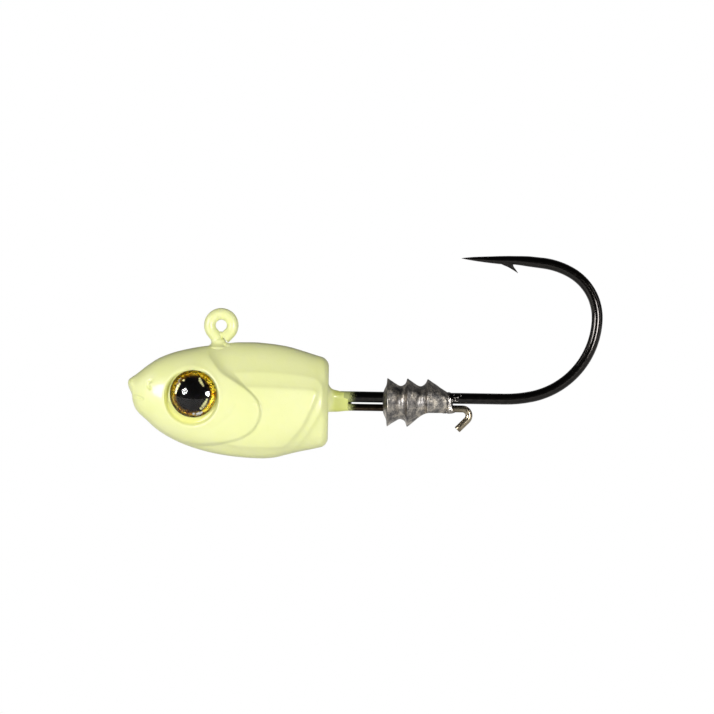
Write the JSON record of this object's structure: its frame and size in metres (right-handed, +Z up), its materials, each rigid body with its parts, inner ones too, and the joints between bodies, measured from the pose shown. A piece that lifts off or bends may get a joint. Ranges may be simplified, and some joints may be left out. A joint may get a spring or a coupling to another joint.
{
  "type": "jig head",
  "caption": "Fish-shaped weighted jig head with glued eyes, upturned barbed hook, ribbed bait keeper collar and bent keeper wire.",
  "frame": {"origin": "centre of the line-tie ring", "axes": "+X runs back along the hook's shank, -X is the nose; +Z is up, the side the hook point is on; Y is across, symmetric about Y = 0; -Y is the fish's left side"},
  "size_m": [0.0601, 0.0108, 0.0262],
  "materials": {
    "glow_paint": "gloss",
    "black_nickel": "black nickel plate, polished",
    "keeper_nickel": "bright, slightly bronze",
    "bare_lead": "as cast",
    "eye_glue": "clear pad",
    "gold_foil": "holographic foil",
    "pupil_ink": "printed ink",
    "clear_resin": "polished dome"
  },
  "bodies": {
    "root": {"hook": "black_nickel", "keeper_wire": "keeper_nickel", "head_casting": "glow_paint", "paint_film": "glow_paint", "keeper_collar": "bare_lead", "left_eye_adhesive": "eye_glue", "left_eye_foil": "gold_foil", "left_eye_pupil": "pupil_ink", "left_eye_dome": "clear_resin", "right_eye_adhesive": "eye_glue", "right_eye_foil": "gold_foil", "right_eye_pupil": "pupil_ink", "right_eye_dome": "clear_resin"}
  },
  "joints": []
}
